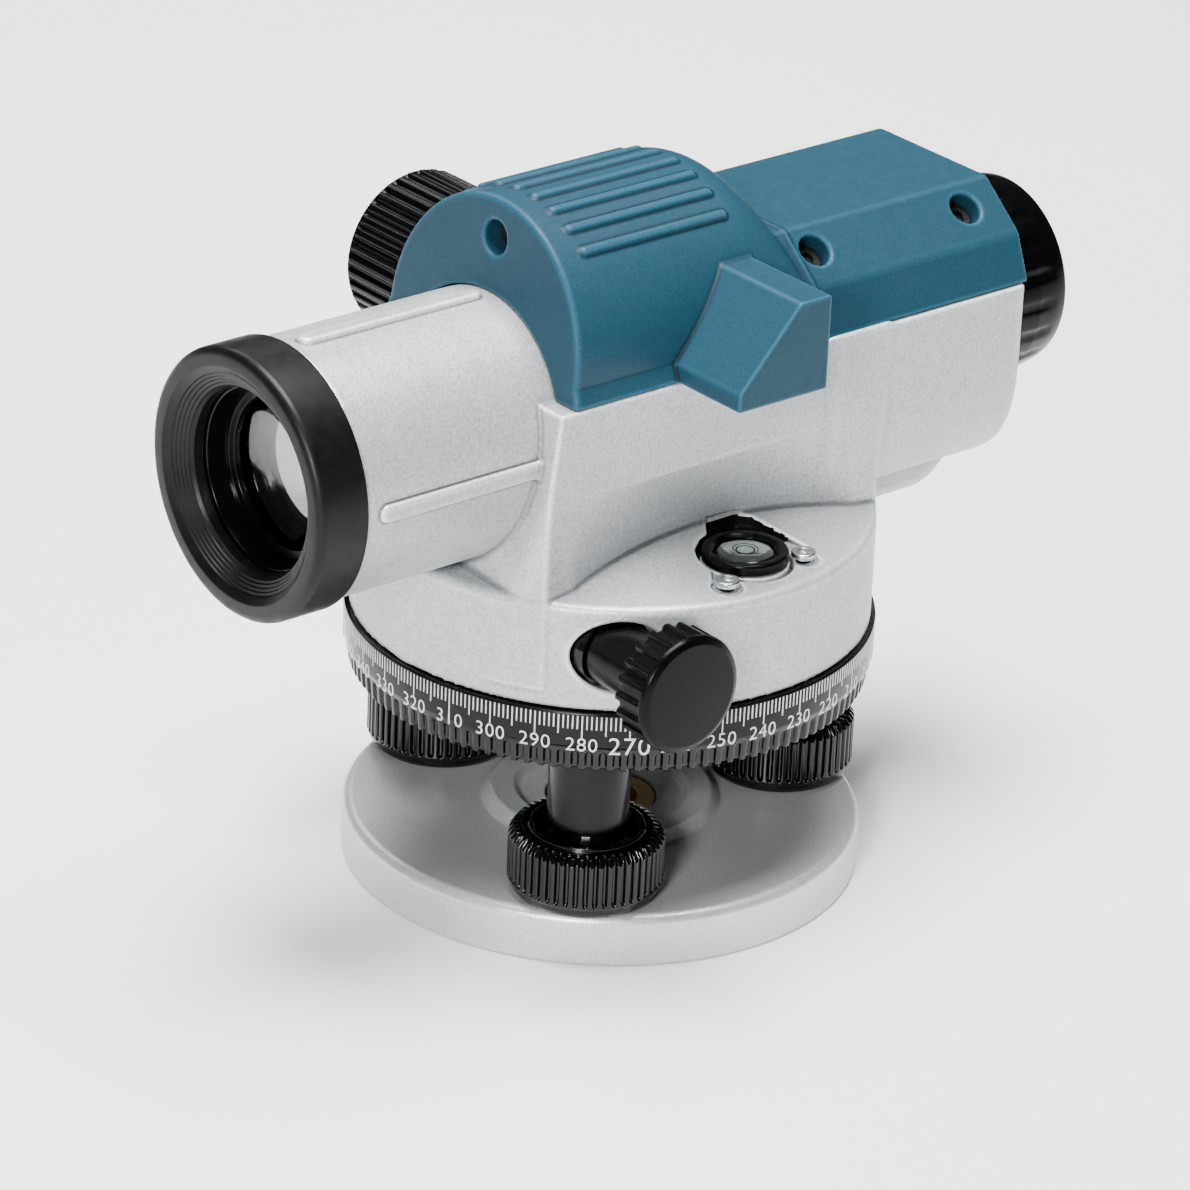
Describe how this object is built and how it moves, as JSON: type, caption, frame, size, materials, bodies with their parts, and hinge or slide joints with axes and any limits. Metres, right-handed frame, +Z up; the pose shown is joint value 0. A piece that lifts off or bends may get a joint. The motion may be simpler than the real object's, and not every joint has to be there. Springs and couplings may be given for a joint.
{
  "type": "automatic level",
  "caption": "Automatic level for surveying: telescope with focusing knob, vial with mirror, tangent drive and graduated circle on a three-screw levelling base.",
  "frame": {"origin": "centre of the bounding box at the underside of the base plate", "axes": "+Z up along the vertical axis, +Y towards the eyepiece, -Y towards the object sighted, +X towards the circular vial"},
  "size_m": [0.13, 0.2072, 0.1563],
  "materials": {
    "silver_paint": "die-cast, silver paint, satin, fine texture",
    "teal_plastic": "satin, fine grain",
    "black_plastic": "semi-gloss",
    "black_rubber": "satin",
    "black_metal": "black anodised, satin",
    "dark_steel": "blackened",
    "steel": "turned",
    "brass": "turned",
    "glass": "polished, coated",
    "mirror": "polished"
  },
  "bodies": {
    "base": {"base_plate": "silver_paint", "tripod_thread_bush": "brass", "foot_spring_plate": "dark_steel", "levelling_head": "black_metal", "foot_nut_1": "brass", "foot_nut_2": "brass", "foot_nut_3": "brass", "hub_bush": "brass"},
    "foot_screw_1": {"foot_knob_1": "black_plastic", "foot_stem_1": "steel"},
    "foot_screw_2": {"foot_knob_2": "black_plastic", "foot_stem_2": "steel"},
    "foot_screw_3": {"foot_knob_3": "black_plastic", "foot_stem_3": "steel"},
    "circle": {"horizontal_circle": "black_metal"},
    "worm_gear": {"worm_wheel": "brass", "clutch_ring": "dark_steel"},
    "alidade": {"spindle": "steel", "housing": "silver_paint", "housing_bottom_plate": "dark_steel", "top_cover": "teal_plastic", "cover_screw_1": "dark_steel", "cover_screw_2": "dark_steel", "cover_screw_3": "dark_steel", "cover_screw_4": "dark_steel", "cover_screw_5": "dark_steel", "objective_hood": "black_rubber", "objective_cell": "black_metal", "objective_lens": "glass", "focus_bush": "brass", "compensator_frame": "dark_steel", "damping_magnet": "dark_steel", "reticle_cell": "brass", "reticle_glass": "glass", "eyepiece_tube": "black_metal", "drive_bush_right": "black_metal", "drive_bush_left": "black_metal", "vial_ring": "black_plastic", "vial_glass": "glass", "vial_screw_1": "steel", "vial_screw_2": "steel", "vial_mirror": "mirror"},
    "drive": {"drive_shaft": "steel", "drive_worm": "brass", "drive_knob_right": "black_plastic", "drive_knob_left": "black_plastic"},
    "focus_drive": {"focus_pinion": "steel", "focus_knob": "black_plastic"},
    "focusing": {"focusing_carriage": "black_metal", "focusing_lens": "glass"},
    "pendulum": {"compensator_pendulum": "brass", "compensator_prism": "glass"},
    "eyepiece": {"eyepiece_ring": "black_plastic"},
    "eyepiece_optics": {"eyepiece_cell": "black_metal", "eyepiece_lens": "glass"}
  },
  "joints": [
    {"name": "coarse_pan", "type": "hinge", "parent": "base", "child": "worm_gear", "pos_m": [0, -0.0048, 0.071], "axis": [0, 0, 1], "continuous": true},
    {"name": "fine_pan", "type": "hinge", "parent": "worm_gear", "child": "alidade", "pos_m": [0, -0.0048, 0.071], "axis": [0, 0, 1], "continuous": true},
    {"name": "drive_spin", "type": "hinge", "parent": "alidade", "child": "drive", "pos_m": [0, -0.0376, 0.0705], "axis": [1, 0, 0], "continuous": true},
    {"name": "circle_turn", "type": "hinge", "parent": "base", "child": "circle", "pos_m": [0, -0.0048, 0.05], "axis": [0, 0, 1], "continuous": true},
    {"name": "foot_screw_turn_1", "type": "hinge", "parent": "base", "child": "foot_screw_1", "pos_m": [0.03021, -0.03398, 0.02], "axis": [0, 0, 1], "range_deg": [-720, 720]},
    {"name": "foot_screw_turn_2", "type": "hinge", "parent": "base", "child": "foot_screw_2", "pos_m": [0.01016, 0.03595, 0.02], "axis": [0, 0, 1], "range_deg": [-720, 720]},
    {"name": "foot_screw_turn_3", "type": "hinge", "parent": "base", "child": "foot_screw_3", "pos_m": [-0.04037, -0.01638, 0.02], "axis": [0, 0, 1], "range_deg": [-720, 720]},
    {"name": "focus_spin", "type": "hinge", "parent": "alidade", "child": "focus_drive", "pos_m": [0, -0.0168, 0.1216], "axis": [1, 0, 0], "range_deg": [-150, 150]},
    {"name": "focusing_slide", "type": "slide", "parent": "alidade", "child": "focusing", "axis": [0, 1, 0], "range_m": [-0.00785, 0.00785]},
    {"name": "eyepiece_turn", "type": "hinge", "parent": "alidade", "child": "eyepiece", "pos_m": [0, 0.1, 0.1089], "axis": [0, 1, 0], "range_deg": [-150, 150]},
    {"name": "dioptre_slide", "type": "slide", "parent": "alidade", "child": "eyepiece_optics", "axis": [0, 1, 0], "range_m": [-0.0015, 0.0015]},
    {"name": "pendulum_swing", "type": "hinge", "parent": "alidade", "child": "pendulum", "pos_m": [0, 0.0252, 0.1176], "axis": [1, 0, 0], "range_deg": [-0.25, 0.25]}
  ],
  "couplings": [
    {"joint": "drive_spin", "follows": "fine_pan", "ratio": 40},
    {"joint": "focus_spin", "follows": "focusing_slide", "rad_per_m": -333.33},
    {"joint": "eyepiece_turn", "follows": "dioptre_slide", "rad_per_m": 1745.2}
  ]
}
